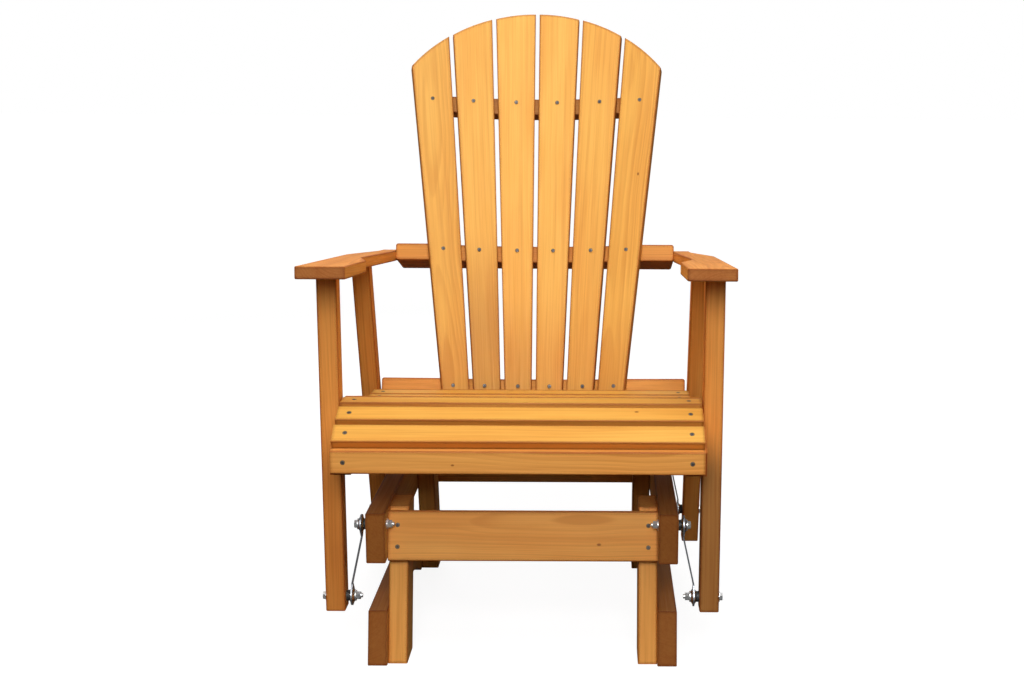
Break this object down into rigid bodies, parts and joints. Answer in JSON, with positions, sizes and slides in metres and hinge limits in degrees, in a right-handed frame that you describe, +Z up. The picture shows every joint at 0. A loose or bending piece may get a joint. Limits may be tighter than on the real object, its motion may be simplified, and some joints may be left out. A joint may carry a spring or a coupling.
{
  "type": "adirondack glider",
  "caption": "Timber garden glider chair: slatted contoured seat with a fan back and broad arms, hung on cranked steel links from a splayed base.",
  "frame": {"origin": "on the floor, at the middle of the chair's plan at rest", "axes": "+X to the sitter's left, +Y towards the back, +Z up"},
  "size_m": [0.74, 0.873, 1.2],
  "materials": {
    "base_timber": "honey stain, satin",
    "frame_timber": "honey stain, satin",
    "slat_timber": "honey stain, satin",
    "link_steel": "dark grey, satin",
    "bearing_steel": "zinc plate",
    "spacer_nylon": "matt black",
    "zinc_hardware": "zinc plate"
  },
  "bodies": {
    "base": {"front_left_leg": "base_timber", "front_right_leg": "base_timber", "front_stretcher": "base_timber", "left_base_rail": "base_timber", "left_floor_runner": "base_timber", "rear_left_leg": "base_timber", "rear_right_leg": "base_timber", "rear_stretcher": "base_timber", "right_base_rail": "base_timber", "right_floor_runner": "base_timber", "upper_pivot_bolts": "zinc_hardware", "upper_pivot_nuts": "zinc_hardware", "upper_pivot_spacers": "spacer_nylon", "upper_pivot_washers": "zinc_hardware"},
    "seat": {"arm_back_rail": "frame_timber", "back_slat_1": "slat_timber", "back_slat_2": "slat_timber", "back_slat_3": "slat_timber", "back_slat_4": "slat_timber", "back_slat_5": "slat_timber", "back_slat_6": "slat_timber", "left_arm": "frame_timber", "left_front_post": "frame_timber", "left_rear_post": "frame_timber", "left_stringer": "frame_timber", "lower_back_rail": "frame_timber", "lower_pivot_bolts": "zinc_hardware", "lower_pivot_nuts": "zinc_hardware", "lower_pivot_spacers": "spacer_nylon", "lower_pivot_washers": "zinc_hardware", "right_arm": "frame_timber", "right_front_post": "frame_timber", "right_rear_post": "frame_timber", "right_stringer": "frame_timber", "seat_apron": "slat_timber", "seat_slat_01": "slat_timber", "seat_slat_02": "slat_timber", "seat_slat_03": "slat_timber", "seat_slat_04": "slat_timber", "seat_slat_05": "slat_timber", "seat_slat_06": "slat_timber", "seat_slat_07": "slat_timber", "seat_slat_08": "slat_timber", "seat_slat_09": "slat_timber", "seat_slat_10": "slat_timber", "seat_slat_11": "slat_timber", "top_back_batten": "frame_timber"},
    "front_left_link": {"front_left_link": "link_steel", "front_left_link_bushes": "bearing_steel"},
    "front_right_link": {"front_right_link": "link_steel", "front_right_link_bushes": "bearing_steel"},
    "rear_left_link": {"rear_left_link": "link_steel", "rear_left_link_bushes": "bearing_steel"},
    "rear_right_link": {"rear_right_link": "link_steel", "rear_right_link_bushes": "bearing_steel"}
  },
  "joints": [
    {"name": "glide", "type": "hinge", "parent": "base", "child": "front_left_link", "pos_m": [-0.2954, -0.2818, 0.26], "axis": [1, 0, 0], "range_deg": [-18, 18]},
    {"name": "seat_level", "type": "hinge", "parent": "front_left_link", "child": "seat", "pos_m": [-0.3156, -0.2818, 0.122], "axis": [1, 0, 0], "range_deg": [-18, 18]},
    {"name": "front_right_swing", "type": "hinge", "parent": "base", "child": "front_right_link", "pos_m": [0.2954, -0.2818, 0.26], "axis": [1, 0, 0], "range_deg": [-18, 18]},
    {"name": "rear_left_swing", "type": "hinge", "parent": "base", "child": "rear_left_link", "pos_m": [-0.2954, 0.2502, 0.26], "axis": [1, 0, 0], "range_deg": [-18, 18]},
    {"name": "rear_right_swing", "type": "hinge", "parent": "base", "child": "rear_right_link", "pos_m": [0.2954, 0.2502, 0.26], "axis": [1, 0, 0], "range_deg": [-18, 18]}
  ],
  "couplings": [
    {"joint": "seat_level", "follows": "glide", "ratio": -1},
    {"joint": "front_right_swing", "follows": "glide", "ratio": 1},
    {"joint": "rear_left_swing", "follows": "glide", "ratio": 1},
    {"joint": "rear_right_swing", "follows": "glide", "ratio": 1}
  ]
}
